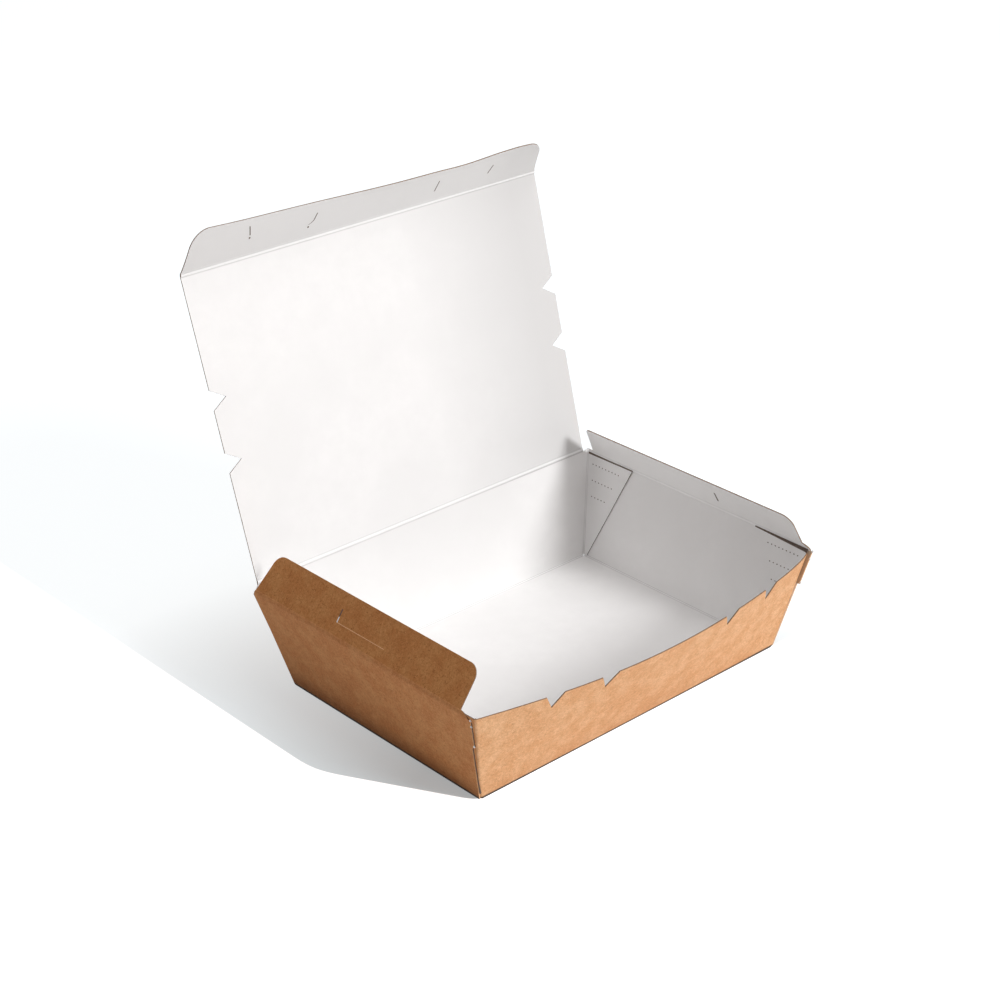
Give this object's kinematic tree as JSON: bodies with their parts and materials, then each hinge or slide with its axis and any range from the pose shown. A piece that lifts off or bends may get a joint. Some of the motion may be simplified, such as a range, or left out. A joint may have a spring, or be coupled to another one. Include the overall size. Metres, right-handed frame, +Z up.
{
  "type": "takeaway box",
  "caption": "Folded board takeaway box with leaning walls, a hinged lid with a tuck-in front flap, and two side flaps, shown open.",
  "frame": {"origin": "middle of the underside of the base, on the surface that the box stands on", "axes": "+Z up, -Y towards the front wall, +X to the right as seen from the front"},
  "size_m": [0.2072, 0.1955, 0.2021],
  "materials": {
    "board": "kraft outside, white inside"
  },
  "bodies": {
    "tray": {"tray": "board"},
    "lid": {"lid": "board"},
    "lid_front_flap": {"lid_front_flap": "board"},
    "left_flap": {"left_flap": "board"},
    "right_flap": {"right_flap": "board"}
  },
  "joints": [
    {"name": "lid_hinge", "type": "hinge", "parent": "tray", "child": "lid", "pos_m": [0, 0.07273, 0.05117], "axis": [1, 0, 0], "range_deg": [-74, 106]},
    {"name": "front_flap_fold", "type": "hinge", "parent": "lid", "child": "lid_front_flap", "pos_m": [0, 0.11065, 0.18344], "axis": [1, 0, 0], "range_deg": [-31, 44]},
    {"name": "left_flap_fold", "type": "hinge", "parent": "tray", "child": "left_flap", "pos_m": [-0.1034, 0, 0.04956], "axis": [0, 1, 0], "range_deg": [-40, 55]},
    {"name": "right_flap_fold", "type": "hinge", "parent": "tray", "child": "right_flap", "pos_m": [0.1034, 0, 0.04956], "axis": [0, -1, 0], "range_deg": [-43, 60]}
  ],
  "couplings": [
    {"joint": "front_flap_fold", "follows": "lid_hinge", "ratio": 0.415},
    {"joint": "left_flap_fold", "follows": "lid_hinge", "ratio": 0.515},
    {"joint": "right_flap_fold", "follows": "lid_hinge", "ratio": 0.561}
  ]
}
